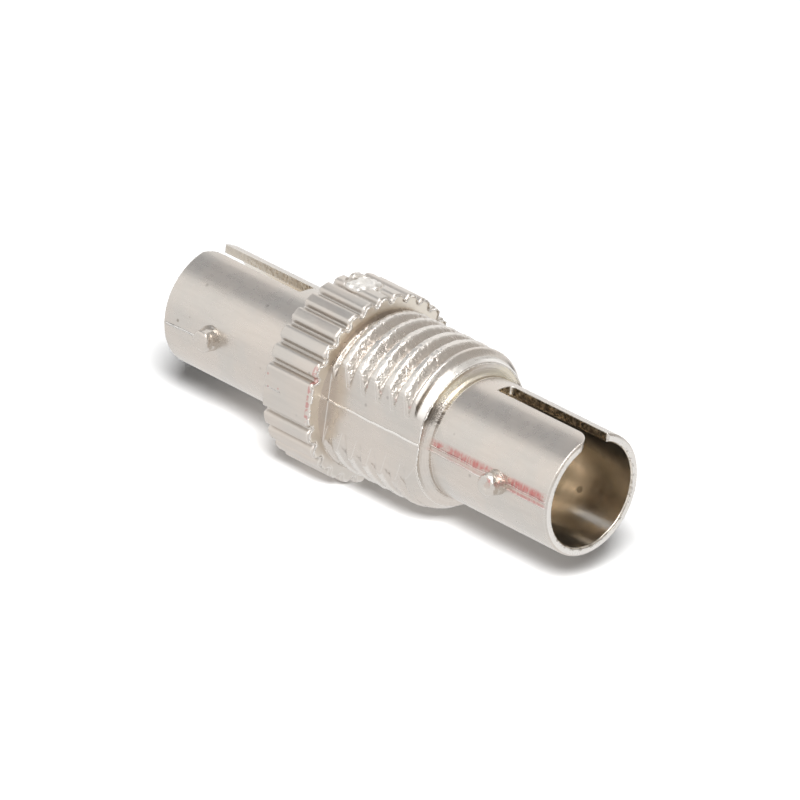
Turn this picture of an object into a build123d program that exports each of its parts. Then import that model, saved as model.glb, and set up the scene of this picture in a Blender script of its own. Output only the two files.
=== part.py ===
from build123d import *
from math import ceil, radians, sqrt, tan
import os

# A bulkhead adapter for two 2.5 mm ferrule bayonet fibre plugs, in millimetres.
# +X runs along the axis towards the threaded side's mouth, and +Z points at the key slots.
# The origin is on the axis at the optical plane, midway between the two mouths.

os.makedirs("parts", exist_ok=True)

# Barrels and plug sockets
mouth_to_mouth = 30.2
barrel_radius = 3.55
barrel_wall = 0.5
mouth_chamfer = 0.12
socket_lead_in = 0.1

# Key slots, one in the top of each barrel
slot_width = 1.22
slot_length = 7.35
slot_end_radius = 0.2
slot_flare = 1.05
slot_far_round = 0.18

# Bayonet lugs, on the parting plane
lug_from_mouth = 3.85
lug_height = 0.89
lug_base_radius = 0.68
lug_draft = 6
lug_tip_chamfer = 0.1

# Knurled flange
flange_rear = 5.1
flange_thickness = 3.75
flange_rise = 0.85
flange_land_drop = 0.11
seat_chamfer = 0.26
seat_soften = 0.1
groove_depth = 0.34
groove_floor = 0.14
groove_mouth = 1
groove_lip_round = 0.24
groove_pitch = 12.4
grooves_per_side = 13
tooth_rear_chamfer = 0.22
tooth_front_chamfer = 0.15

# Gate scar on top of the flange
gate_radius = 1.1
gate_from_rear = 1.55
gate_drop = 0.21

# Panel thread, with a flat land along each side at the parting plane
thread_rise = 1.15
thread_depth = 0.46
thread_pitch = 1.145
thread_crest_width = 0.36
thread_flank_angle = 30
thread_length = 7.1
thread_land_drop = 0.67
lead_chamfer = 0.9
lead_angle = 31

# Alignment sleeve and what holds it
ferrule_radius = 1.25
sleeve_wall = 0.35
sleeve_length = 11.4
sleeve_slit = 0.5
sleeve_chamfer = 0.1
sleeve_gap = 0.08
sleeve_end_play = 0.15
lip_hole_gap = 0.17
lip_funnel = 0.35
retainer_step = 0.67
retainer_thickness = 0.85
press_gap = 0.01

# How far a cutter runs past the surface it cuts
cut_past = 1

# Radii and heights worked outwards from the barrel, and the flats cut into them
socket_radius = barrel_radius - barrel_wall
lug_tip_reach = barrel_radius + lug_height
thread_crest_radius = barrel_radius + thread_rise
thread_root_radius = thread_crest_radius - thread_depth
thread_land = thread_crest_radius - thread_land_drop
flange_radius = thread_crest_radius + flange_rise
flange_land = flange_radius - flange_land_drop
gate_height = flange_radius - gate_drop

# Radii worked outwards from the ferrule
sleeve_radius = ferrule_radius + sleeve_wall
cavity_radius = sleeve_radius + sleeve_gap
retainer_radius = cavity_radius + retainer_step
lip_hole_radius = ferrule_radius + lip_hole_gap

# Places along the axis
mouth = mouth_to_mouth / 2
cavity_end = sleeve_length / 2 + sleeve_end_play
socket_floor = cavity_end + retainer_thickness
flange_front = flange_thickness - flange_rear
thread_end = flange_front + thread_length
lead_drop = lead_chamfer * tan(radians(lead_angle))

# Where each barrel flares into the wall behind it
seat_reach = seat_chamfer + seat_soften
seat_slant = seat_soften * sqrt(0.5)

# The thread is cast in two mould halves: half-turn ridges, sunk a little into the core and cut to the crest
ridge_margin = 0.1
flank_slope = tan(radians(thread_flank_angle))
half_tip = thread_crest_width / 2 - ridge_margin * flank_slope
half_root = thread_crest_width / 2 + (thread_depth + ridge_margin) * flank_slope
half_turns = ceil(2 * thread_length / thread_pitch) + 2

with BuildPart() as half_ridge:
    with BuildLine():
        ridge_path = Helix(thread_pitch, thread_pitch / 2, thread_root_radius, direction=(1, 0, 0))
    with BuildSketch(Plane(origin=ridge_path @ 0, x_dir=ridge_path @ 0, z_dir=ridge_path % 0)):
        Polygon(
            (-ridge_margin, -half_root),
            (thread_depth + ridge_margin, -half_tip),
            (thread_depth + ridge_margin, half_tip),
            (-ridge_margin, half_root),
            align=None,
        )
    sweep(path=ridge_path, is_frenet=True)

with BuildPart() as thread_ridges:
    # The first ridge crosses the top of the flange's face, a quarter turn after its own start
    for half_turn in range(half_turns):
        start_x = flange_front - 3 * thread_pitch / 4 + half_turn * thread_pitch / 2
        with Locations(Location((start_x, 0, 0), (half_turn * 180 - 90, 0, 0))):
            add(half_ridge.part)
    # The thread's envelope: it starts inside the flange and ends in the lead-in chamfer
    with BuildSketch(Plane.XZ):
        with BuildLine():
            Polyline(
                (flange_front - thread_pitch / 2, 0),
                (flange_front - thread_pitch / 2, thread_crest_radius),
                (thread_end - lead_chamfer, thread_crest_radius),
                (thread_end, thread_crest_radius - lead_drop),
                (thread_end, 0),
                close=True,
            )
        make_face()
    revolve(axis=Axis.X, mode=Mode.INTERSECT)

# One drafted lug, standing up from inside the barrel's wall
lug_foot = (barrel_radius + socket_radius) / 2
lug_shoulder = lug_tip_reach - lug_tip_chamfer
lug_tip_radius = lug_base_radius - (lug_shoulder - lug_foot) * tan(radians(lug_draft))

with BuildPart() as lug:
    with BuildSketch(Plane.XZ):
        with BuildLine():
            Polyline(
                (0, lug_foot),
                (lug_base_radius, lug_foot),
                (lug_tip_radius, lug_shoulder),
                (lug_tip_radius - lug_tip_chamfer, lug_tip_reach),
                (0, lug_tip_reach),
                close=True,
            )
        make_face()
    revolve(axis=Axis.Z)

with BuildPart() as adapter_body:
    # Knurled flange: round-lipped grooves in both mould halves, a smooth land each side, broken tooth ends
    with BuildSketch(Plane.YZ.offset(-flange_rear)) as knurl:
        Circle(flange_radius)
        for side in (90, 270):
            first_groove = side - groove_pitch * (grooves_per_side - 1) / 2
            for groove in range(grooves_per_side):
                with PolarLocations(flange_radius, 1, start_angle=first_groove + groove * groove_pitch):
                    Polygon(
                        (-groove_depth, -groove_floor / 2),
                        (groove_depth, (groove_floor - groove_mouth) / 2),
                        (groove_depth, (groove_mouth - groove_floor) / 2),
                        (-groove_depth, groove_floor / 2),
                        align=None,
                        mode=Mode.SUBTRACT,
                    )
        lips = knurl.vertices().filter_by(
            lambda corner: sqrt(corner.X**2 + corner.Y**2) > flange_radius - groove_depth / 2
        )
        fillet(lips, groove_lip_round)
    extrude(amount=flange_thickness)
    chamfer(adapter_body.faces().sort_by(Axis.X)[0].edges(), tooth_rear_chamfer)
    chamfer(adapter_body.faces().sort_by(Axis.X)[-1].edges(), tooth_front_chamfer)
    with BuildSketch(Plane.YZ.offset(-flange_rear)):
        Rectangle(2 * flange_land, 2 * (flange_radius + cut_past))
    extrude(amount=flange_thickness, mode=Mode.INTERSECT)

    # Gate scar: the teeth are cut down to a round spot, and the groove between them is full there
    gate_x = gate_from_rear - flange_rear
    with BuildSketch(Plane.XY.offset(gate_height)):
        with Locations((gate_x, 0)):
            Circle(gate_radius)
    extrude(amount=cut_past, mode=Mode.SUBTRACT)
    with BuildSketch(Plane.XY.offset(gate_height)):
        with Locations((gate_x, 0)):
            Circle(gate_radius)
    extrude(amount=-2 * groove_depth)

    # Thread core with its lead-in chamfer, and the ridge
    with BuildSketch(Plane.XZ):
        with BuildLine():
            Polyline(
                (flange_front - thread_pitch / 2, 0),
                (flange_front - thread_pitch / 2, thread_root_radius),
                (thread_end - (lead_drop - thread_depth) / tan(radians(lead_angle)), thread_root_radius),
                (thread_end, thread_crest_radius - lead_drop),
                (thread_end, 0),
                close=True,
            )
        make_face()
    revolve(axis=Axis.X)
    add(thread_ridges.part)

    # Flat lands along both sides of the thread
    for side in (-1, 1):
        with BuildSketch(Plane.YZ.offset(flange_front)):
            with Locations((side * (thread_land + flange_radius / 2), 0)):
                Rectangle(flange_radius, 2 * flange_radius)
        extrude(amount=thread_length, mode=Mode.SUBTRACT)

    # Both barrels in one turned bar, flared where it meets the flange and the thread
    with BuildSketch(Plane.XZ):
        with BuildLine():
            Polyline(
                (-mouth, 0),
                (-mouth, barrel_radius - mouth_chamfer),
                (mouth_chamfer - mouth, barrel_radius),
                (-flange_rear - seat_reach, barrel_radius),
                (-flange_rear - seat_chamfer + seat_slant, barrel_radius + seat_slant),
                (-flange_rear - seat_slant, barrel_radius + seat_chamfer - seat_slant),
                (-flange_rear, barrel_radius + seat_reach),
                (thread_end, barrel_radius + seat_reach),
                (thread_end + seat_slant, barrel_radius + seat_chamfer - seat_slant),
                (thread_end + seat_chamfer - seat_slant, barrel_radius + seat_slant),
                (thread_end + seat_reach, barrel_radius),
                (mouth - mouth_chamfer, barrel_radius),
                (mouth, barrel_radius - mouth_chamfer),
                (mouth, 0),
                close=True,
            )
        make_face()
    revolve(axis=Axis.X)

    # Bayonet lugs, on both sides of both barrels
    for side in (-1, 1):
        for lug_x in (lug_from_mouth - mouth, mouth - lug_from_mouth):
            with Locations(Location((lug_x, 0, 0), (side * 90, 0, 0))):
                add(lug.part)

    # Sockets, retaining lip, sleeve cavity and the retainer's seat, cored from both mouths
    with BuildSketch(Plane.XZ):
        with BuildLine():
            Polyline(
                (-mouth, 0),
                (-mouth, socket_radius + socket_lead_in),
                (-mouth + socket_lead_in, socket_radius),
                (-socket_floor, socket_radius),
                (-socket_floor, lip_hole_radius + lip_funnel),
                (-socket_floor + lip_funnel, lip_hole_radius),
                (-cavity_end, lip_hole_radius),
                (-cavity_end, cavity_radius),
                (cavity_end, cavity_radius),
                (cavity_end, retainer_radius),
                (socket_floor, retainer_radius),
                (socket_floor, socket_radius),
                (mouth - socket_lead_in, socket_radius),
                (mouth, socket_radius + socket_lead_in),
                (mouth, 0),
                close=True,
            )
        make_face()
    revolve(axis=Axis.X, mode=Mode.SUBTRACT)

    # Key slots: the corner towards -Y is flared widely at the mouth, the other one only broken
    slot_end = mouth - slot_length
    with BuildSketch() as slot_plan:
        with BuildLine():
            far_side = Line((slot_end, slot_width / 2), (mouth - slot_far_round, slot_width / 2))
            far_arc = TangentArc(
                far_side @ 1,
                (mouth, slot_width / 2 + slot_far_round),
                tangent=far_side % 1,
            )
            past = Polyline(
                far_arc @ 1,
                (mouth + cut_past, slot_width / 2 + slot_far_round),
                (mouth + cut_past, -slot_width / 2 - slot_flare),
                (mouth, -slot_width / 2 - slot_flare),
            )
            near_arc = TangentArc(
                (mouth - slot_flare, -slot_width / 2),
                past @ 1,
                tangent=(1, 0),
            )
            Polyline(near_arc @ 0, (slot_end, -slot_width / 2), far_side @ 0)
        make_face()
        fillet(slot_plan.vertices().group_by(Axis.X)[0], slot_end_radius)
    right_slot = extrude(amount=barrel_radius + cut_past, mode=Mode.PRIVATE)
    add(right_slot, mode=Mode.SUBTRACT)
    add(mirror(right_slot, about=Plane.YZ, mode=Mode.PRIVATE), mode=Mode.SUBTRACT)

with BuildPart() as split_sleeve:
    with BuildSketch(Plane.YZ.offset(-sleeve_length / 2)):
        Circle(sleeve_radius)
        Circle(ferrule_radius, mode=Mode.SUBTRACT)
    extrude(amount=sleeve_length)
    chamfer(split_sleeve.edges().filter_by(GeomType.CIRCLE), sleeve_chamfer)
    with BuildSketch(Plane.XY):
        Rectangle(2 * sleeve_length, sleeve_slit)
    extrude(amount=-2 * sleeve_radius, mode=Mode.SUBTRACT)

with BuildPart() as sleeve_retainer:
    with BuildSketch(Plane.YZ.offset(cavity_end)):
        Circle(retainer_radius - press_gap)
        Circle(lip_hole_radius, mode=Mode.SUBTRACT)
    extrude(amount=retainer_thickness)
    funnel_edge = sleeve_retainer.edges().filter_by(GeomType.CIRCLE).group_by(Axis.X)[-1].sort_by(
        lambda edge: edge.radius
    )[0]
    chamfer(funnel_edge, lip_funnel)

pieces = {
    "adapter_body": adapter_body,
    "split_sleeve": split_sleeve,
    "sleeve_retainer": sleeve_retainer,
}
for name, piece in pieces.items():
    piece.part.label = name
    export_step(piece.part, f"parts/{name}.step")
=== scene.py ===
import math

import bpy
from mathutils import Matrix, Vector, noise


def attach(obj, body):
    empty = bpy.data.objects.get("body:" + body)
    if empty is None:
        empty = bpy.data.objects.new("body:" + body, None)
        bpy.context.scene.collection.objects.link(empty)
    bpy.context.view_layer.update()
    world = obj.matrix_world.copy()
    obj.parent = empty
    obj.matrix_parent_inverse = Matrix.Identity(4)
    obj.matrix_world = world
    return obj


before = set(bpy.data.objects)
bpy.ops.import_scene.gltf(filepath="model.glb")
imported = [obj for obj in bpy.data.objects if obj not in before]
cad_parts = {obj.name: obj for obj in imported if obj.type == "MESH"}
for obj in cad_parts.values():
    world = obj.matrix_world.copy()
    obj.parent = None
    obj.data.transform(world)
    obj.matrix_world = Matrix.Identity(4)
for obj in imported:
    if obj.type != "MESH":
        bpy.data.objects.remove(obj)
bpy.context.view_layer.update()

mm = 0.001

# the casting's own sizes in millimetres, as the CAD model has them
casting = {
    "mouth": 15.1,
    "barrelRadius": 3.55,
    "boreRadius": 3.05,
    "flangeRear": -5.1,
    "flangeFront": -1.35,
    "flangeRadius": 5.55,
    "flangeLand": 5.44,
    "grooveDepth": 0.34,
    "groovePitch": 12.4,  # in degrees
    "threadEnd": 5.75,
    "threadCrest": 4.7,
    "threadRoot": 4.24,
    "threadLand": 4.03,
    "threadPitch": 1.145,
    "ridgeAtTop": 0.3675,
    "leadEnd": 4.159,
    "lugX": 11.25,
    "lugTip": 4.44,
    "slotHalf": 0.61,
    "slotEnd": 7.75,
    "gateX": -3.55,
    "gateHeight": 5.34,
}
print("frame loaded:", ", ".join(sorted(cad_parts)))

# node trees: each node goes one column to the right of what feeds it
nodeGrid = {"column": 200, "row": 250, "lastColumn": 9000}


def feed(tree, socket, value):  # links another node's socket, or sets a plain value
    if isinstance(value, bpy.types.NodeSocket):
        tree.links.new(value, socket)
    else:
        socket.default_value = value


def placeNode(tree, node, sources):
    feeders = [value.node for value in sources if isinstance(value, bpy.types.NodeSocket)]
    x = max([feeder.location.x + nodeGrid["column"] for feeder in feeders], default=0)
    inColumn = sum(other.location.x == x for other in tree.nodes) - (x == 0)
    node.location = (x, -nodeGrid["row"] * inColumn)


def addNode(tree, kind, inputs=None, **settings):
    node = tree.nodes.new(kind)
    for key, value in settings.items():
        setattr(node, key, value)
    for key, value in (inputs or {}).items():
        feed(tree, node.inputs[key], value)
    placeNode(tree, node, (inputs or {}).values())
    return node


def calc(tree, operation, a, b=0.5):
    return addNode(tree, "ShaderNodeMath", {0: a, 1: b}, operation=operation).outputs[0]


def times(tree, product, *others):
    for other in others:
        product = calc(tree, "MULTIPLY", product, other)
    return product


def slope(tree, value, low, high, start=0.0, end=1.0):  # a smooth step from start to end
    span = {"Value": value, "From Min": low, "From Max": high, "To Min": start, "To Max": end}
    return addNode(tree, "ShaderNodeMapRange", span, interpolation_type="SMOOTHSTEP").outputs["Result"]


def zone(tree, at, limits):  # 1 inside all the limits, 0 outside
    edges = []
    for coordinate, low, high, soft in limits:
        if low is not None:
            edges.append(slope(tree, at[coordinate], low - soft, low + soft))
        if high is not None:
            edges.append(slope(tree, at[coordinate], high - soft, high + soft, 1.0, 0.0))
    return times(tree, *edges)


def mixColour(tree, amount, a, b, blend="MIX"):
    node = addNode(tree, "ShaderNodeMix", data_type="RGBA", blend_type=blend)
    for index, value in ((0, amount), (6, a), (7, b)):
        feed(tree, node.inputs[index], value)
    placeNode(tree, node, (amount, a, b))
    return node.outputs[2]


def dotWith(tree, a, b):
    return addNode(tree, "ShaderNodeVectorMath", {0: a, 1: b}, operation="DOT_PRODUCT").outputs["Value"]


def noiseAt(tree, place, scale, detail, roughness=0.5, distortion=0.0, squeeze=None, turn=0.0):
    if squeeze:  # stretched or squeezed along the axes, and turned about Y
        place = addNode(tree, "ShaderNodeMapping",
                        {"Vector": place, "Rotation": (0.0, turn, 0.0), "Scale": squeeze}).outputs[0]
    return addNode(tree, "ShaderNodeTexNoise",
                   {"Vector": place, "Scale": scale, "Detail": detail, "Roughness": roughness,
                    "Distortion": distortion}).outputs["Fac"]


def useGroup(tree, group, inputs):
    node = addNode(tree, "ShaderNodeGroup", node_tree=group)
    for key, value in inputs.items():
        feed(tree, node.inputs[key], value)
    placeNode(tree, node, inputs.values())
    return node.outputs


def newGroup(name, inputs, outputs):
    group = bpy.data.node_groups.new(name, "ShaderNodeTree")
    for label, kind, value in inputs:
        socket = group.interface.new_socket(name=label, in_out="INPUT", socket_type="NodeSocket" + kind)
        if value is not None:
            socket.default_value = value
    for label, kind in outputs:
        group.interface.new_socket(name=label, in_out="OUTPUT", socket_type="NodeSocket" + kind)
    given = addNode(group, "NodeGroupInput").outputs
    end = addNode(group, "NodeGroupOutput")
    end.location = (nodeGrid["lastColumn"] / 4, 0)
    return group, given, end.inputs


# lumps and grain of a casting under thin plating: height for a bump, and pits
grainLook = {
    "lumpDetail": 3.0,
    "smoothness": 0.8,
    "pitScale": 0.9,
    "pitShare": (0.62, 0.68),
    "pitSize": (0.05, 0.12),
}


def makeCastGrain():
    group, given, out = newGroup(
        "castGrain",
        [("Vector", "Vector", None), ("Lump Scale", "Float", 2.4), ("Grain Scale", "Float", 9.0),
         ("Grain", "Float", 0.35), ("Pits", "Float", 0.4)],
        [("Height", "Float"), ("Pit Mask", "Float")])
    lumps = noiseAt(group, given["Vector"], given["Lump Scale"], grainLook["lumpDetail"])
    grain = addNode(group, "ShaderNodeTexVoronoi",
                    {"Vector": given["Vector"], "Scale": given["Grain Scale"],
                     "Smoothness": grainLook["smoothness"]}, feature="SMOOTH_F1")
    body = calc(group, "SUBTRACT", lumps, times(group, grain.outputs["Distance"], given["Grain"]))
    spots = addNode(group, "ShaderNodeTexVoronoi",
                    {"Vector": given["Vector"], "Scale": grainLook["pitScale"], "Randomness": 1.0})
    chosen = addNode(group, "ShaderNodeTexWhiteNoise", {"Vector": spots.outputs["Position"]})
    pit = times(group, slope(group, spots.outputs["Distance"], *grainLook["pitSize"], 1.0, 0.0),
                slope(group, chosen.outputs["Value"], *grainLook["pitShare"]))
    group.links.new(calc(group, "SUBTRACT", body, times(group, pit, given["Pits"])), out["Height"])
    group.links.new(pit, out["Pit Mask"])
    return group


# slow drift between a warm and a cool tone, with faint drawn streaks along X
toneLook = {
    "clouds": (0.35, 3.0, 0.55),
    "drift": (0.35, 0.68),
    "lines": (4.5, 4.0, 0.6),
    "lineSqueeze": (0.12, 1.0, 1.0),
    "lineEdge": (0.35, 0.75),
    "darker": (0.5, 0.48, 0.46, 1.0),
}


def makePlatingTone():
    group, given, out = newGroup(
        "platingTone",
        [("Vector", "Vector", None), ("Warm", "Color", None), ("Cool", "Color", None),
         ("Streaks", "Float", 0.3)],
        [("Color", "Color"), ("Streak", "Float")])
    drift = slope(group, noiseAt(group, given["Vector"], *toneLook["clouds"]), *toneLook["drift"])
    lines = noiseAt(group, given["Vector"], *toneLook["lines"], squeeze=toneLook["lineSqueeze"])
    streak = slope(group, lines, *toneLook["lineEdge"])
    toned = mixColour(group, drift, given["Warm"], given["Cool"])
    darker = mixColour(group, times(group, streak, given["Streaks"]), toned, toneLook["darker"], "MULTIPLY")
    group.links.new(darker, out["Color"])
    group.links.new(streak, out["Streak"])
    return group


# how far a rounded normal leaves the true one: 1 on a rounded edge, which takes a painted highlight
def makeEdgeHighlight():
    group, given, out = newGroup(
        "edgeHighlight",
        [("Rounded", "Vector", None), ("Flat", "Vector", None), ("Reach", "Float", 0.12)],
        [("Mask", "Float")])
    left = calc(group, "SUBTRACT", 1.0, dotWith(group, given["Rounded"], given["Flat"]))
    mask = addNode(group, "ShaderNodeClamp", {"Value": calc(group, "DIVIDE", left, given["Reach"])})
    group.links.new(mask.outputs[0], out["Mask"])
    return group


# broken smears along X, for the red print left on the parting line
smearLook = {"noise": (2.1, 6.0, 0.72, 0.6), "squeeze": (0.9, 1.0, 2.2), "edge": (-0.1, 0.16)}


def makeSmear():
    group, given, out = newGroup(
        "smear",
        [("Vector", "Vector", None), ("Zone", "Float", 0.0), ("Cover", "Float", 0.5)],
        [("Mask", "Float")])
    blots = noiseAt(group, given["Vector"], *smearLook["noise"], squeeze=smearLook["squeeze"])
    over = calc(group, "SUBTRACT", blots, calc(group, "SUBTRACT", 1.0, given["Cover"]))
    group.links.new(times(group, slope(group, over, *smearLook["edge"]), given["Zone"]), out["Mask"])
    return group


castGrain = makeCastGrain()
platingTone = makePlatingTone()
edgeHighlight = makeEdgeHighlight()
smear = makeSmear()
print("shared effects made:", castGrain.name, platingTone.name, edgeHighlight.name, smear.name)


def newMaterial(name):
    material = bpy.data.materials.new(name)
    material.use_nodes = True
    tree = material.node_tree
    tree.nodes.clear()
    shader = addNode(tree, "ShaderNodeBsdfPrincipled")
    shader.location = (nodeGrid["lastColumn"], 0)
    addNode(tree, "ShaderNodeOutputMaterial", {"Surface": shader.outputs[0]})
    where = addNode(tree, "ShaderNodeTexCoord")
    inMm = addNode(tree, "ShaderNodeMapping", {"Vector": where.outputs["Object"], "Scale": (1 / mm,) * 3})
    return material, tree, shader, inMm.outputs["Vector"]


# satin nickel over a zinc casting; every nickel piece uses it with its own values
nickelLook = {
    "warm": (0.74, 0.675, 0.615, 1.0),
    "cool": (0.69, 0.65, 0.605, 1.0),
    # the painted highlight colour: edges, crests, the lead-in, the mouths, the slot corner and bright spots
    "brightEdge": (0.95, 0.92, 0.88, 1.0),
    "boreBrown": (0.86, 0.795, 0.705, 1.0),
    "slotBrown": (0.58, 0.49, 0.37, 1.0),
    "slotBlack": (0.20, 0.16, 0.11, 1.0),
    "slotPale": (0.70, 0.64, 0.56, 1.0),
    # painted shade for the thread's root and the knurl's grooves
    "recessShade": (0.36, 0.32, 0.28, 1.0),
    # painted highlight on the flange's front face, stronger towards the top
    "faceHighlight": (0.93, 0.86, 0.75, 1.0),
    # the neck's gold band and dark lines are painted reflections on the rounded shoulder; neckDark also paints
    # the lead-in's shadow line
    "neckGold": (0.92, 0.84, 0.64, 1.0),
    "neckDark": (0.09, 0.07, 0.05, 1.0),
    "pitDark": (0.25, 0.22, 0.2, 1.0),
    # noises: scale, detail, roughness
    "blots": (3.4, 4.0, 0.65),
    "neckLines": (1.0, 3.0, 0.6),
    "neckSqueeze": (0.7, 13.0, 13.0),
    "gloss": (1.8, 4.0),
    # steps: from, to, and the amount at each where it isn't 0 and 1
    "mottled": (0.42, 0.6),
    "paleSlots": (-1.0, 1.0, 0.8, 0.0),
    "faceFade": (-4.2, -1.5, 0.1, 0.75),
    "nicks": (0.41, 0.47, 0.6, 0.0),
    "goldLines": (0.3, 0.6, 1.0, 0.4),
    "darkLines": (0.47, 0.57),
    "crestFade": (3.9, 4.3, 0.5, 0.15),
    "lumpsFade": (4.3, 4.7, 1.0, 0.05),
    "landFade": (2.6, 3.6, 0.08, 0.3),
    "glossEdge": (0.3, 0.7),
    "speckEdge": 1.7,  # a speck's outer edge, in sizes from its middle
    # how strong each mark is
    "streaks": 0.08,
    "mouthHighlight": 0.7,
    "gold": 0.85,
    "dark": 0.8,
    "neckBlot": 0.95,
    "rootShade": 0.85,
    "grooveShade": 0.55,
    "leadShadow": 0.95,
    "edgeGlintStrength": 0.6,
    "pits": 0.35,
    # relief in shares of the bump's depth in millimetres, and the rounding of the edges
    "bumpDepth": 0.05,
    "calmRelief": 0.004,
    "threadRelief": 0.616,
    "teethRelief": 0.1,
    "slotRelief": 0.9,
    "streakRelief": 0.03,
    "neckRelief": 0.5,
    "edgeRadius": 0.1,
    "edgeSamples": 8,
    "edgeGlintReach": 0.1,
    "grain": {"Lump Scale": 4.2, "Grain Scale": 9.0, "Grain": 0.5, "Pits": 0.5},
    # roughness: its spread, and what is added on some surfaces
    "spread": (-0.02, 0.03),
    "rougher": {"neck": -0.12, "bore": -0.1, "teeth": 0.07},
}
# where each surface or mark is, in millimetres: coordinate, low and high limit or none, softness of the limits
nickelZones = {
    "thread": [("x", casting["flangeFront"] + 0.1, casting["threadEnd"] - 0.9, 0.08),
               ("absY", None, casting["threadLand"] - 0.05, 0.03), ("radius", 4.06, None, 0.06)],
    "root": [("radius", None, casting["threadRoot"] + 0.08, 0.06)],
    "crest": [("radius", casting["threadCrest"] - 0.05, None, 0.05)],
    "land": [("absY", casting["threadLand"] - 0.03, casting["threadLand"] + 0.03, 0.01),
             ("x", casting["flangeFront"] + 0.1, casting["threadEnd"] - 0.1, 0.1)],
    # a painted highlight band on the lead-in cone
    "leadHighlight": [("x", casting["threadEnd"] - 0.38, casting["threadEnd"] - 0.03, 0.04),
                   ("radius", casting["threadLand"] + 0.025, None, 0.025), ("z", 1.7, None, 0.2)],
    "leadShadow": [("x", casting["threadEnd"] - 0.6, casting["threadEnd"] - 0.43, 0.04),
                   ("radius", casting["threadLand"] + 0.025, None, 0.025),
                   ("z", 1.7, None, 0.2), ("z", None, 3.5, 0.5)],
    "teeth": [("x", None, casting["flangeFront"] + 0.01, 0.03), ("radius", 4.825, None, 0.125)],
    "groove": [("x", casting["flangeRear"] + 0.3, casting["flangeFront"] - 0.2, 0.1),
               ("radius", None, casting["flangeRadius"] - casting["grooveDepth"] + 0.11, 0.09)],
    "face": [("x", casting["flangeFront"] - 0.02, casting["flangeFront"] + 0.03, 0.015),
             ("radius", 4.71, None, 0.05)],
    "mouth": [("absX", casting["mouth"] - 0.0125, None, 0.0075)],
    "rim": [("absX", casting["mouth"] - 0.1, None, 0.04),
            ("radius", None, casting["boreRadius"] + 0.16, 0.04)],
    "bore": [("absX", 6.1, None, 0.3), ("radius", None, casting["boreRadius"] + 0.055, 0.035)],
    "slot": [("absX", casting["slotEnd"] - 0.0125, None, 0.0075),
             ("absY", None, casting["slotHalf"] + 0.0075, 0.0125), ("z", 2.95, None, 0.05)],
    # the slot's inner corner, where a painted highlight goes
    "slotCorner": [("x", casting["slotEnd"] - 0.1, casting["slotEnd"] + 0.16, 0.04), ("y", 0.44, None, 0.04)],
    "neck": [("x", casting["threadEnd"] - 0.02, casting["threadEnd"] + 0.6, 0.03),
             ("radius", casting["barrelRadius"] - 0.045, None, 0.015)],
    "neckGold": [("z", 2.45, 3.7, 0.35)],
    "neckDark": [("z", 1.35, 2.5, 0.3)],
    "neckBlot": [("x", None, 6.005, 0.075), ("z", None, 2.25, 0.25)],
}
otherSpecks = [
    # place, size, colour, strength: a painted dark reflection in the bore, a pit near the left mouth, a
    # painted glint for a small burr on the slot's wall, and a painted highlight in the bore
    ((11.8, 2.67, -1.48), 0.24, "slotBlack", 0.7),
    ((-13.94, -3.55, 0.05), 0.11, "slotBlack", 0.6),
    ((8.32, 0.61, 3.24), 0.07, "brightEdge", 1.0),
    ((11.3, 2.5, -2.1), 0.2, "brightEdge", 0.7),
]

# the red left on the near side, mostly on the threaded side's barrel, with a rubbed tan trace under it
stainLook = {
    "red": (0.60, 0.12, 0.12, 1.0),
    "redStrength": 0.75,
    "tan": (0.62, 0.47, 0.38, 1.0),
    "tanStrength": 0.3,
    "cover": 0.53,
    "heavyCover": 0.15,
    "thinFade": (11.5, 12.5, 0.3, 0.75),
    "strokes": (1.6, 3.0, 0.7),
    "strokeSqueeze": (5.0, 0.3, 0.9),
    "strokeTurn": 0.3,
    "strokeEdge": (0.36, 0.58, 0.4, 1.0),
    "rimBreaks": (0.46, 0.56, 0.0, 0.7),
    "speckStrength": 0.55,
    "speckEdge": 1.6,
}
stainZones = {
    "near": [("y", None, -3.25, 0.05)],
    "wide": [("z", 0.19, 0.62, 0.16), ("x", 6.3, 14.9, 0.4)],
    "thin": [("z", -0.12, 0.06, 0.05), ("x", 6.0, 14.9, 0.3)],
    "heavyInner": [("x", 7.6, 10.2, 0.5)],
    "heavyOuter": [("x", 12.3, 14.6, 0.4)],
    "rubbedIn": [("z", -0.08, 0.6, 0.16), ("x", 6.0, 14.8, 0.3)],
    "flangeRim": [("x", -1.66, -1.42, 0.04), ("z", -0.9, 2.2, 0.2), ("y", None, -4.85, 0.05)],
}
redSpecks = [
    # place, size
    ((-4.77, -5.44, 0.70), 0.09),
    ((-4.65, -5.44, -0.02), 0.08),
    ((-3.88, -5.44, 0.12), 0.07),
    ((1.35, -3.95, 1.95), 0.16),
    ((2.4, -3.95, 2.0), 0.17),
    ((3.55, -3.95, 2.0), 0.17),
    ((4.65, -3.95, 1.95), 0.16),
]


def makeCoordinates(tree, place):
    x, y, z = addNode(tree, "ShaderNodeSeparateXYZ", {0: place}).outputs
    squares = calc(tree, "ADD", times(tree, y, y), times(tree, z, z))
    return {"x": x, "y": y, "z": z, "radius": calc(tree, "SQRT", squares),
            "absX": calc(tree, "ABSOLUTE", x), "absY": calc(tree, "ABSOLUTE", y)}


def makeZones(tree, at, zones):
    return {label: zone(tree, at, limits) for label, limits in zones.items()}


def speckMask(tree, place, blots, middle, size, edge, strength):
    gap = addNode(tree, "ShaderNodeVectorMath", {0: place, 1: middle}, operation="DISTANCE").outputs["Value"]
    ragged = calc(tree, "ADD", gap, times(tree, blots, size))
    return slope(tree, ragged, size, size * edge, strength, 0.0)


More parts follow.
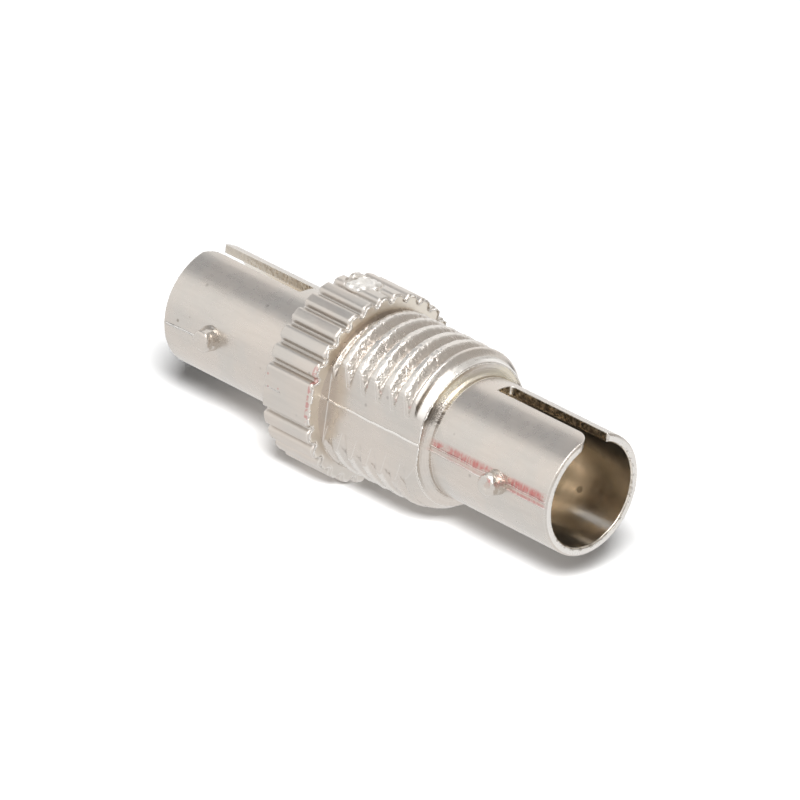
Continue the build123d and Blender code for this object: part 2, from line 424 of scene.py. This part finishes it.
def stainLayers(tree, place, at, blots):
    on = makeZones(tree, at, stainZones)
    thin = times(tree, on["thin"], slope(tree, at["x"], *stainLook["thinFade"]))
    stained = times(tree, on["near"], calc(tree, "MAXIMUM", on["wide"], thin))
    heavy = times(tree, calc(tree, "MAXIMUM", on["heavyInner"], on["heavyOuter"]), stainLook["heavyCover"])
    cover = calc(tree, "ADD", heavy, stainLook["cover"])
    red = useGroup(tree, smear, {"Vector": place, "Zone": stained, "Cover": cover})["Mask"]
    strokes = noiseAt(tree, place, *stainLook["strokes"],
                      squeeze=stainLook["strokeSqueeze"], turn=stainLook["strokeTurn"])
    red = times(tree, red, slope(tree, strokes, *stainLook["strokeEdge"]))
    for middle, size in redSpecks:
        speck = speckMask(tree, place, blots, middle, size,
                          stainLook["speckEdge"], stainLook["speckStrength"])
        red = calc(tree, "MAXIMUM", red, speck)
    rim = times(tree, on["flangeRim"], slope(tree, blots, *stainLook["rimBreaks"]))
    red = calc(tree, "MAXIMUM", red, rim)
    return [(times(tree, on["near"], on["rubbedIn"], stainLook["tanStrength"]), stainLook["tan"]),
            (times(tree, red, stainLook["redStrength"]), stainLook["red"])]


def makeNickel(name, roughness, lumps, stained=True, allOverHighlight=0.0):
    look = nickelLook
    material, tree, shader, place = newMaterial(name)
    at = makeCoordinates(tree, place)
    on = makeZones(tree, at, nickelZones)
    blots = noiseAt(tree, place, *look["blots"])
    neckLines = noiseAt(tree, place, *look["neckLines"], squeeze=look["neckSqueeze"])
    tone = useGroup(tree, platingTone, {"Vector": place, "Warm": look["warm"], "Cool": look["cool"],
                                        "Streaks": look["streaks"]})

    # slot walls: mottled, with painted light making them paler on the left barrel, and a painted highlight at
    # one inner corner
    wall = mixColour(tree, slope(tree, blots, *look["mottled"]), look["slotBlack"], look["slotBrown"])
    wall = mixColour(tree, slope(tree, at["x"], *look["paleSlots"]), wall, look["slotPale"])
    wall = mixColour(tree, on["slotCorner"], wall, look["brightEdge"])
    layers = [
        (on["bore"], look["boreBrown"]),
        (on["slot"], wall),
        # the flange's front face, lightened towards the top: a painted highlight
        (times(tree, on["face"], slope(tree, at["z"], *look["faceFade"])), look["faceHighlight"]),
        # a painted highlight on the barrels' end faces
        (times(tree, on["mouth"], look["mouthHighlight"]), look["brightEdge"]),
        (times(tree, on["rim"], slope(tree, blots, *look["nicks"])), look["slotBlack"]),
    ]
    for middle, size, tint, strength in otherSpecks:
        layers.append((speckMask(tree, place, blots, middle, size, look["speckEdge"], strength), look[tint]))

    # the neck beside the thread: a painted gold reflection band above, painted dark reflection lines below
    gold = times(tree, on["neck"], on["neckGold"], slope(tree, neckLines, *look["goldLines"]), look["gold"])
    blot = times(tree, on["neckBlot"], look["neckBlot"])
    lines = calc(tree, "MAXIMUM", blot, slope(tree, neckLines, *look["darkLines"]))
    dark = times(tree, on["neck"], on["neckDark"], lines, look["dark"])

    # painted shade at the thread's root and in the knurl's grooves, and a painted highlight on the crests
    recessShading = calc(tree, "MAXIMUM", times(tree, on["thread"], on["root"], look["rootShade"]),
                 times(tree, on["groove"], look["grooveShade"]))
    # painted highlight on the thread's crests, fading towards the lead-in
    crestHighlight = times(tree, on["thread"], on["crest"], slope(tree, at["x"], *look["crestFade"]))

    # shape: rounded edges, then lumps that are deepest on the thread
    reach = times(tree, calc(tree, "ADD", on["teeth"], 1.0), look["edgeRadius"] * mm)
    rounded = addNode(tree, "ShaderNodeBevel", {"Radius": reach},
                      samples=look["edgeSamples"]).outputs["Normal"]
    flat = addNode(tree, "ShaderNodeNewGeometry").outputs["Normal"]
    edgeGlint = useGroup(tree, edgeHighlight, {"Rounded": rounded, "Flat": flat, "Reach": look["edgeGlintReach"]})["Mask"]
    grain = useGroup(tree, castGrain, {"Vector": place, **look["grain"]})
    depth = look["calmRelief"] * lumps
    for relief in (
        times(tree, on["thread"], slope(tree, at["x"], *look["lumpsFade"]), look["threadRelief"] * lumps),
        times(tree, on["teeth"], look["teethRelief"] * lumps),
        times(tree, on["slot"], look["slotRelief"]),
        times(tree, on["land"], slope(tree, at["x"], *look["landFade"])),
    ):
        depth = calc(tree, "ADD", depth, relief)
    drawn = calc(tree, "ADD", times(tree, tone["Streak"], look["streakRelief"]),
                 times(tree, on["neck"], neckLines, look["neckRelief"]))
    height = calc(tree, "ADD", times(tree, grain["Height"], depth), drawn)
    bump = addNode(tree, "ShaderNodeBump",
                   {"Strength": 1.0, "Distance": look["bumpDepth"] * mm, "Height": height, "Normal": rounded})
    tree.links.new(bump.outputs[0], shader.inputs["Normal"])

    layers += [
        (gold, look["neckGold"]),
        (dark, look["neckDark"]),
        (recessShading, look["recessShade"]),
        (crestHighlight, look["brightEdge"]),
        # painted highlight band on the lead-in cone
        (on["leadHighlight"], look["brightEdge"]),
        (times(tree, on["leadShadow"], look["leadShadow"]), look["neckDark"]),
        # painted highlight on rounded edges, plus an even painted highlight over whole pieces
        (calc(tree, "ADD", times(tree, edgeGlint, look["edgeGlintStrength"]), allOverHighlight), look["brightEdge"]),
        (times(tree, grain["Pit Mask"], look["pits"]), look["pitDark"]),
    ]
    if stained:
        layers += stainLayers(tree, place, at, blots)
    colour = tone["Color"]
    for amount, tint in layers:
        colour = mixColour(tree, amount, colour, tint)
    tree.links.new(colour, shader.inputs["Base Color"])
    shader.inputs["Metallic"].default_value = 1.0

    least, most = (roughness + change for change in look["spread"])
    rough = slope(tree, noiseAt(tree, place, *look["gloss"]), *look["glossEdge"], least, most)
    for label, change in look["rougher"].items():
        rough = calc(tree, "ADD", rough, times(tree, on[label], change))
    tree.links.new(rough, shader.inputs["Roughness"])
    return material


nickel = makeNickel("satinNickelCasting", 0.28, 1.0)
nickelRaw = makeNickel("brokenNickelCasting", 0.24, 2.0, stained=False)
# the flash lines and burrs, and the gate scar below, are lightened all over: a painted highlight
nickelFlash = makeNickel("thinFlashNickel", 0.24, 1.0, allOverHighlight=0.8)
nickelTorn = makeNickel("tornGateNickel", 0.36, 1.0, stained=False, allOverHighlight=1.0)


# the two metals hidden inside, turned on a lathe
turnedLook = {
    "rings": {"Scale": 3.2, "Distortion": 1.5, "Detail": 3.0, "Detail Scale": 2.0},
    "blots": (0.9, 4.0),
    "blotEdge": (0.35, 0.65),
    "ringRougher": 0.1,
    "ringDepth": 0.01,
    "bumpStrength": 0.6,
}
sleeveLook = {"light": (0.62, 0.40, 0.22, 1.0), "dark": (0.40, 0.24, 0.12, 1.0), "roughness": 0.28}
retainerLook = {"light": (0.68, 0.62, 0.52, 1.0), "dark": (0.50, 0.43, 0.33, 1.0), "roughness": 0.25}


def makeTurned(name, look):
    material, tree, shader, place = newMaterial(name)
    rings = addNode(tree, "ShaderNodeTexWave", {"Vector": place, **turnedLook["rings"]},
                    wave_type="BANDS", bands_direction="X").outputs["Fac"]
    blots = slope(tree, noiseAt(tree, place, *turnedLook["blots"]), *turnedLook["blotEdge"])
    tree.links.new(mixColour(tree, blots, look["light"], look["dark"]), shader.inputs["Base Color"])
    shader.inputs["Metallic"].default_value = 1.0
    rough = slope(tree, rings, 0.0, 1.0, look["roughness"], look["roughness"] + turnedLook["ringRougher"])
    tree.links.new(rough, shader.inputs["Roughness"])
    bump = addNode(tree, "ShaderNodeBump", {"Strength": turnedLook["bumpStrength"],
                                            "Distance": turnedLook["ringDepth"] * mm, "Height": rings})
    tree.links.new(bump.outputs[0], shader.inputs["Normal"])
    return material


for nodeName, material in (
    ("adapter_body", nickel),
    ("split_sleeve", makeTurned("springBronze", sleeveLook)),
    ("sleeve_retainer", makeTurned("turnedBrass", retainerLook)),
):
    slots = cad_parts[nodeName].data.materials
    for i in range(len(slots)):
        slots[i] = material
print("CAD nodes dressed")

# modelling helpers
meshCare = {"weld": 0.0005, "octaves": 3, "lacunarity": 2.0, "shiftBySeed": (7.3, 3.1, 0.0)}


def clearSelection():
    bpy.ops.object.select_all(action="DESELECT")


def applyTransform():
    bpy.ops.object.transform_apply(location=True, rotation=True, scale=True)


def editAll():
    bpy.ops.object.mode_set(mode="EDIT")
    bpy.ops.mesh.select_all(action="SELECT")


def backToObject():
    bpy.ops.object.mode_set(mode="OBJECT")


def thicken(piece, thickness, offset):
    shell = piece.modifiers.new("thickness", "SOLIDIFY")
    shell.thickness = thickness * mm
    shell.offset = offset
    bpy.ops.object.modifier_apply(modifier=shell.name)


def finishPiece(piece, name, material, angle=60):
    clearSelection()
    piece.select_set(True)
    bpy.context.view_layer.objects.active = piece
    applyTransform()
    editAll()
    bpy.ops.mesh.remove_doubles(threshold=meshCare["weld"] * mm)
    bpy.ops.mesh.normals_make_consistent(inside=False)
    backToObject()
    bpy.ops.object.shade_smooth_by_angle(angle=math.radians(angle))
    piece.name = name
    piece.data.name = name
    piece.data.materials.clear()
    piece.data.materials.append(material)
    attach(piece, "root")


def ruggedness(spot, hold=1.0, octaves=meshCare["octaves"]):
    return noise.fractal(spot, hold, meshCare["lacunarity"], octaves)


def roughen(piece, depth, size, seed):  # moves each point along its normal by noise, in millimetres
    mesh = piece.data
    shift = Vector([seed * step for step in meshCare["shiftBySeed"]])
    normals = [v.normal.copy() for v in mesh.vertices]
    for vertex, normal in zip(mesh.vertices, normals):
        spot = piece.matrix_world @ vertex.co / mm / size + shift
        vertex.co += normal * ruggedness(spot) * depth * mm


def between(value, low, high):
    return min(max(value, low), high)


# lugs: a lumpy skin of cast metal over each one
lugSkin = {
    "rootRadius": 0.74, "tipRadius": 0.58, "foot": 3.42, "sides": 28,
    "edge": 0.13, "edgeSteps": 3, "voxel": 0.05,
    "lumpDepth": 0.07, "lumpSize": 0.55,
}


def makeLugSkins():
    height = casting["lugTip"] - lugSkin["foot"]
    places = [(side, lugX) for side in (-1, 1) for lugX in (-casting["lugX"], casting["lugX"])]
    for count, (side, lugX) in enumerate(places):
        clearSelection()
        middle = side * (lugSkin["foot"] + height / 2) * mm
        bpy.ops.mesh.primitive_cone_add(
            vertices=lugSkin["sides"], radius1=lugSkin["rootRadius"] * mm, radius2=lugSkin["tipRadius"] * mm,
            depth=height * mm, location=(lugX * mm, middle, 0), rotation=(-side * math.pi / 2, 0, 0))
        lug = bpy.context.object
        applyTransform()
        editAll()
        bpy.ops.mesh.bevel(offset=lugSkin["edge"] * mm, segments=lugSkin["edgeSteps"], affect="EDGES")
        backToObject()
        remesh = lug.modifiers.new("even", "REMESH")
        remesh.mode = "VOXEL"
        remesh.voxel_size = lugSkin["voxel"] * mm
        bpy.ops.object.modifier_apply(modifier=remesh.name)
        roughen(lug, lugSkin["lumpDepth"], lugSkin["lumpSize"], count + 1)
        finishPiece(lug, f"lugSkin{count}", nickelRaw)
    print("lug skins:", len(places))


# gate scar: where the sprue was broken off
gateScar = {
    "halfAlong": 0.78, "halfAcross": 1.05, "height": 0.2, "sunk": 0.02, "subdivisions": 5,
    "lumpDepth": 0.17, "lumpSize": 0.45, "seed": 5,
}


def makeGateScar():
    clearSelection()
    bpy.ops.mesh.primitive_ico_sphere_add(
        subdivisions=gateScar["subdivisions"], radius=gateScar["halfAcross"] * mm,
        location=(casting["gateX"] * mm, 0, (casting["gateHeight"] - gateScar["sunk"]) * mm))
    scar = bpy.context.object
    scar.scale = (gateScar["halfAlong"] / gateScar["halfAcross"], 1.0,
                  gateScar["height"] / gateScar["halfAcross"])
    applyTransform()
    roughen(scar, gateScar["lumpDepth"], gateScar["lumpSize"], gateScar["seed"])
    finishPiece(scar, "gateScar", nickelTorn)
    print("gate scar made")


# flash: the thin raised line that the two mould halves leave
flashLine = {
    "sides": 8, "sunk": 0.01, "step": 0.14,
    "waver": 0.07, "waverRate": 0.9, "waverShift": 4.0,
    "swell": 0.6, "swellMiddle": 0.75, "swellLeast": 0.25,
    "swellRate": 2.3, "swellShift": 9.0, "swellLift": 3,
}
flashRuns = [
    # name, first x, last x, distance from the axis, height z, width of the line, how far it stands out
    ("flashRear", -14.85, -12.3, 3.54, -0.35, 0.16, 0.012),
    ("flashFlange", -4.85, -3.7, 5.44, -0.05, 0.12, 0.018),
    ("flashThread", -1.3, 5.7, 4.03, 0.12, 0.18, 0.085),
    ("flashFront", 6.1, 14.95, 3.55, 0.22, 0.12, 0.026),
    ("flashFrontLow", 6.1, 14.95, 3.545, -0.1, 0.12, 0.026),
]


def wander(x, y, z):
    return noise.noise(Vector((x, y, z)))


def makeFlash():
    for name, first, last, reach, z, width, proud in flashRuns:
        steps = int((last - first) / flashLine["step"])
        for side in (-1, 1):
            clearSelection()
            bpy.ops.mesh.primitive_circle_add(
                vertices=flashLine["sides"], radius=1.0, fill_type="NGON", rotation=(0, math.pi / 2, 0),
                location=(first * mm, side * (reach - flashLine["sunk"]) * mm, z * mm))
            line = bpy.context.object
            line.scale = (width / 2 * mm, proud * mm, 1)
            applyTransform()
            editAll()
            for _ in range(steps):
                bpy.ops.mesh.extrude_region_move(
                    TRANSFORM_OT_translate={"value": ((last - first) / steps * mm, 0, 0)})
            backToObject()
            for vertex in line.data.vertices:
                along = vertex.co.x / mm
                waver = wander(along * flashLine["waverRate"], side * flashLine["waverShift"], reach)
                vertex.co.z += waver * flashLine["waver"] * mm
                swell = wander(along * flashLine["swellRate"], side * flashLine["swellShift"],
                               reach + flashLine["swellLift"])
                swell = flashLine["swellMiddle"] + flashLine["swell"] * swell
                edge = side * reach * mm
                vertex.co.y = edge + (vertex.co.y - edge) * max(swell, flashLine["swellLeast"])
            finishPiece(line, name + ("Near" if side < 0 else "Far"), nickelFlash)
    print("flash lines:", 2 * len(flashRuns))


# burrs: the broken skin of metal along the knurl's front edge and round the thread's end
burr = {
    "points": 900, "thickness": 0.06, "behind": 0.06,
    "swingRate": 18,
    "tearRate": 26, "tearLift": 4, "tearOctaves": 4, "tearShare": 0.8, "tearMiddle": 0.3, "tearLeast": -0.25,
    "wornFrom": -0.75, "wornOver": 0.3, "wornReach": -0.4,  # rubbed away underneath
    "landTurn": 80, "dipPower": 1.5,
}
burrRuns = [
    # name, edge along the axis, how far below the edge it starts, reach, raggedness
    ("flangeBurr", casting["flangeFront"], 0.08, 0.15, 0.05),
    ("shoulderBurr", casting["threadEnd"], 0.03, 0.09, 0.025),
]


def edgeReach(name, turn):  # distance of the edge from the axis; turn is in degrees from straight up or down
    if name == "flangeBurr":
        wave = 0.5 + 0.5 * math.cos(2 * math.pi * turn / casting["groovePitch"])
        dip = wave if abs(turn) < burr["landTurn"] else 0.0
        reach = casting["flangeRadius"] - casting["grooveDepth"] * dip ** burr["dipPower"]
        flat = casting["flangeLand"]
    else:
        reach, flat = casting["leadEnd"], casting["threadLand"]
    return min(reach, flat / max(abs(math.sin(math.radians(turn))), 0.01))


def makeBurrs():
    for name, edge, below, reach, ragged in burrRuns:
        clearSelection()
        bpy.ops.mesh.primitive_circle_add(
            vertices=burr["points"], radius=casting["flangeRadius"] * mm,
            location=((edge - burr["behind"]) * mm, 0, 0), rotation=(0, math.pi / 2, 0))
        ring = bpy.context.object
        applyTransform()
        for vertex in ring.data.vertices:
            turn = math.degrees(math.atan2(vertex.co.y, abs(vertex.co.z)))
            outward = Vector((vertex.co.y, vertex.co.z)).normalized()
            swing = ragged * ruggedness(Vector((outward.x, outward.y, edge)) * burr["swingRate"])
            vertex.co.y, vertex.co.z = outward * (edgeReach(name, turn) - below + swing) * mm
        editAll()
        bpy.ops.mesh.extrude_edges_move(TRANSFORM_OT_translate={"value": (reach * mm, 0, 0)})
        backToObject()
        for vertex in ring.data.vertices:
            if vertex.co.x > edge * mm:
                outward = Vector((vertex.co.y, vertex.co.z, 0)).normalized()
                spot = outward * burr["tearRate"] + Vector((0, 0, burr["tearLift"] + edge))
                torn = ruggedness(spot, octaves=burr["tearOctaves"]) * burr["tearShare"] + burr["tearMiddle"]
                kept = between((outward.y - burr["wornFrom"]) / burr["wornOver"], 0.0, 1.0)
                share = max(torn, burr["tearLeast"]) * kept + burr["wornReach"] * (1 - kept)
                vertex.co.x = (edge + reach * share) * mm
        thicken(ring, burr["thickness"], 0)
        finishPiece(ring, name, nickelFlash)
    print("burrs:", len(burrRuns))


# thread skin: the lumpy, rounded face of the cast ridges, over the CAD thread's sharp ones
threadSkin = {
    "first": -1.345, "last": 5.745,
    "stepsAlong": 142, "stepsRound": 150,
    "halfAngle": 73.0,
    "proud": 0.02,
    "lumpDepth": 0.035, "lumpSize": 0.2, "lumpHold": 0.9,
    "calmFrom": 4.2, "calmOver": 0.5, "calmMost": 0.75,  # the lead-in is smoother
    "fill": 0.26, "fillFrom": 38, "fillOver": 24,  # how far the lower grooves are filled beside the land
    "wall": 0.12,
    "insideLand": 0.015,
    # one ridge across: distance along the axis from its middle, height over the root
    "ridge": [(-0.5, 0.0), (-0.21, 0.455), (-0.1, 0.49), (0.08, 0.49), (0.2, 0.45), (0.6, 0.03), (0.65, 0.0)],
    "ridgeBlur": 0.05,
    # the lead-in past the last ridge: place along the axis, distance from it
    "lead": [(4.6, 4.73), (4.98, 4.71), (5.26, 4.46), (5.75, 4.17)],
    "leadBlur": 0.04,
}


def readShape(shape, at):  # height of a drawn shape at a place, level beyond its ends
    for (left, low), (right, high) in zip(shape, shape[1:]):
        if left <= at < right:
            return low + (high - low) * (at - left) / (right - left)
    return shape[0][1] if at < shape[0][0] else shape[-1][1]


def softShape(name, at):  # the same, with its corners rounded
    blur = threadSkin[name + "Blur"]
    return sum(readShape(threadSkin[name], at + shift) for shift in (-blur, 0.0, blur)) / 3


def threadReach(x, angle, middle):  # distance of the thread's face from the axis, before the lumps
    pitch = casting["threadPitch"]
    along = (x - casting["ridgeAtTop"] - pitch * (middle + angle) / 360) % pitch
    if along > threadSkin["ridge"][-1][0]:
        along -= pitch
    height = softShape("ridge", along)
    if middle:
        shore = between((abs(angle) - threadSkin["fillFrom"]) / threadSkin["fillOver"], 0.0, 1.0)
        height = max(height, threadSkin["fill"] * shore)
    return min(casting["threadRoot"] + height, softShape("lead", x)) + threadSkin["proud"]


def makeThreadSkins():
    first, last = threadSkin["first"], threadSkin["last"]
    under = casting["threadLand"] - threadSkin["insideLand"]
    for name, middle in (("threadSkinTop", 0.0), ("threadSkinBottom", 180.0)):
        clearSelection()
        bpy.ops.mesh.primitive_grid_add(
            x_subdivisions=threadSkin["stepsAlong"], y_subdivisions=threadSkin["stepsRound"], size=1.0)
        skin = bpy.context.object
        for vertex in skin.data.vertices:
            x = first + (vertex.co.x + 0.5) * (last - first)
            angle = vertex.co.y * 2 * threadSkin["halfAngle"]  # from the middle, towards the near side
            turn = math.radians(middle + angle)
            reach = threadReach(x, angle, middle)
            spot = Vector((x, math.sin(turn) * reach, math.cos(turn) * reach)) / threadSkin["lumpSize"]
            calm = between((x - threadSkin["calmFrom"]) / threadSkin["calmOver"], 0.0, threadSkin["calmMost"])
            reach += threadSkin["lumpDepth"] * (1 - calm) * ruggedness(spot, threadSkin["lumpHold"])
            y = between(-math.sin(turn) * reach, -under, under)
            vertex.co = Vector((x, y, math.cos(turn) * reach)) * mm
        editAll()
        bpy.ops.mesh.normals_make_consistent(inside=False)
        backToObject()
        thicken(skin, threadSkin["wall"], -1)
        finishPiece(skin, name, nickel, angle=75)
        print(name, "faces:", len(skin.data.polygons))


makeLugSkins()
makeGateScar()
makeFlash()
makeBurrs()
makeThreadSkins()


# floor: level, with the flange standing on it
ground = {"below": 5.55, "size": 3.0, "shade": 0.95, "lift": 0.03, "inMetal": 0.9}
white = (1.0, 1.0, 1.0, 1.0)


def makeFloor():
    clearSelection()
    bpy.ops.mesh.primitive_plane_add(size=ground["size"], location=(0, 0, -ground["below"] * mm))
    floor = bpy.context.object
    applyTransform()
    floor.name = "floor"
    material = bpy.data.materials.new("paleFloor")
    material.use_nodes = True
    tree = material.node_tree
    tree.nodes.clear()
    path = addNode(tree, "ShaderNodeLightPath").outputs
    matte = addNode(tree, "ShaderNodeBsdfDiffuse", {"Color": (ground["shade"],) * 3 + (1.0,)})
    seen = times(tree, path["Is Camera Ray"], ground["lift"])
    lift = addNode(tree, "ShaderNodeEmission", {"Color": white, "Strength": seen})
    both = addNode(tree, "ShaderNodeAddShader", {0: matte.outputs[0], 1: lift.outputs[0]})
    # the metal mirrors the floor without its shadow
    even = addNode(tree, "ShaderNodeEmission", {"Color": white, "Strength": ground["inMetal"]})
    mirrored = calc(tree, "MAXIMUM", path["Is Glossy Ray"], path["Is Transmission Ray"])
    choice = addNode(tree, "ShaderNodeMixShader", {0: mirrored, 1: both.outputs[0], 2: even.outputs[0]})
    addNode(tree, "ShaderNodeOutputMaterial", {"Surface": choice.outputs[0]})
    floor.data.materials.append(material)


# studio: an even pale room with two dimmer parts, and three soft lamps
studio = {
    "room": (1.0, 0.995, 0.985, 1.0),
    "roomOnMatte": 0.08,  # the room's share of the light on matte surfaces, so that the lamp draws the shadow
    "dimmer": [
        # colour, direction, and the cosines between which it fades in: a grey patch high at the back, then
        # the side that only the thread's flanks and the lumps mirror
        ((0.44, 0.45, 0.465, 1.0), (-0.63, -0.05, 0.77), (0.89, 0.97)),
        ((0.5, 0.485, 0.465, 1.0), (0.85, 0.4, 0.35), (0.3, 0.62)),
    ],
    "lamps": [
        # name, direction from the object, distance, width, height, watts,
        # and whether it draws in the metal or else on the floor
        ("keyLamp", (0.365, -0.37, 0.855), 0.6, 0.16, 0.7, 1.5, True),
        ("topLamp", (0.77, -0.85, 1.0), 0.6, 0.22, 0.22, 7.6, False),
        ("sideLamp", (0.95, 0.1, 0.35), 0.6, 0.14, 0.14, 0.16, True),
    ],
}


def addToScene(name, data):
    thing = bpy.data.objects.new(name, data)
    bpy.context.scene.collection.objects.link(thing)
    return thing


def makeStudio():
    world = bpy.data.worlds.new("paleRoom")
    bpy.context.scene.world = world
    world.use_nodes = True
    tree = world.node_tree
    tree.nodes.clear()
    where = addNode(tree, "ShaderNodeTexCoord").outputs["Generated"]
    colour = studio["room"]
    for shade, direction, edge in studio["dimmer"]:
        towards = dotWith(tree, where, tuple(Vector(direction).normalized()))
        colour = mixColour(tree, slope(tree, towards, *edge), colour, shade)
    path = addNode(tree, "ShaderNodeLightPath").outputs
    strength = slope(tree, path["Is Diffuse Ray"], 0.0, 1.0, 1.0, studio["roomOnMatte"])
    light = addNode(tree, "ShaderNodeBackground", {"Color": colour, "Strength": strength})
    addNode(tree, "ShaderNodeOutputWorld", {"Surface": light.outputs[0]})
    for name, direction, distance, width, height, watts, inMetal in studio["lamps"]:
        data = bpy.data.lights.new(name, "AREA")
        data.shape = "RECTANGLE"
        data.size = width
        data.size_y = height
        data.energy = watts
        lamp = addToScene(name, data)
        lamp.visible_glossy = inMetal
        lamp.visible_diffuse = not inMetal
        aimFrom = Vector(direction).normalized()
        lamp.location = aimFrom * distance
        lamp.rotation_euler = aimFrom.to_track_quat("Z", "Y").to_euler()


# camera: where the photograph was taken from
view = {
    "place": (318.8966, -346.5806, 188.8363),
    "forward": (-0.62817, 0.68319, -0.37236),
    "up": (-0.34927, 0.18005, 0.91956),
    "lens": 416.26,
    "sensor": 36.0,
    "nearest": 0.01,
    "farthest": 10.0,
}


def makeCamera():
    data = bpy.data.cameras.new("photoCamera")
    data.lens = view["lens"]
    data.sensor_width = view["sensor"]
    data.clip_start = view["nearest"]
    data.clip_end = view["farthest"]
    camera = addToScene("photoCamera", data)
    back = -Vector(view["forward"])
    right = Vector(view["up"]).cross(back).normalized()
    up = back.cross(right).normalized()
    turn = camera.matrix_world.to_3x3()
    turn.col[0], turn.col[1], turn.col[2] = right, up, back
    camera.matrix_world = turn.to_4x4()
    camera.location = Vector(view["place"]) * mm
    bpy.context.scene.camera = camera


makeFloor()
makeStudio()
makeCamera()
bpy.context.scene.view_settings.view_transform = "Standard"
print("floor, studio and camera set")
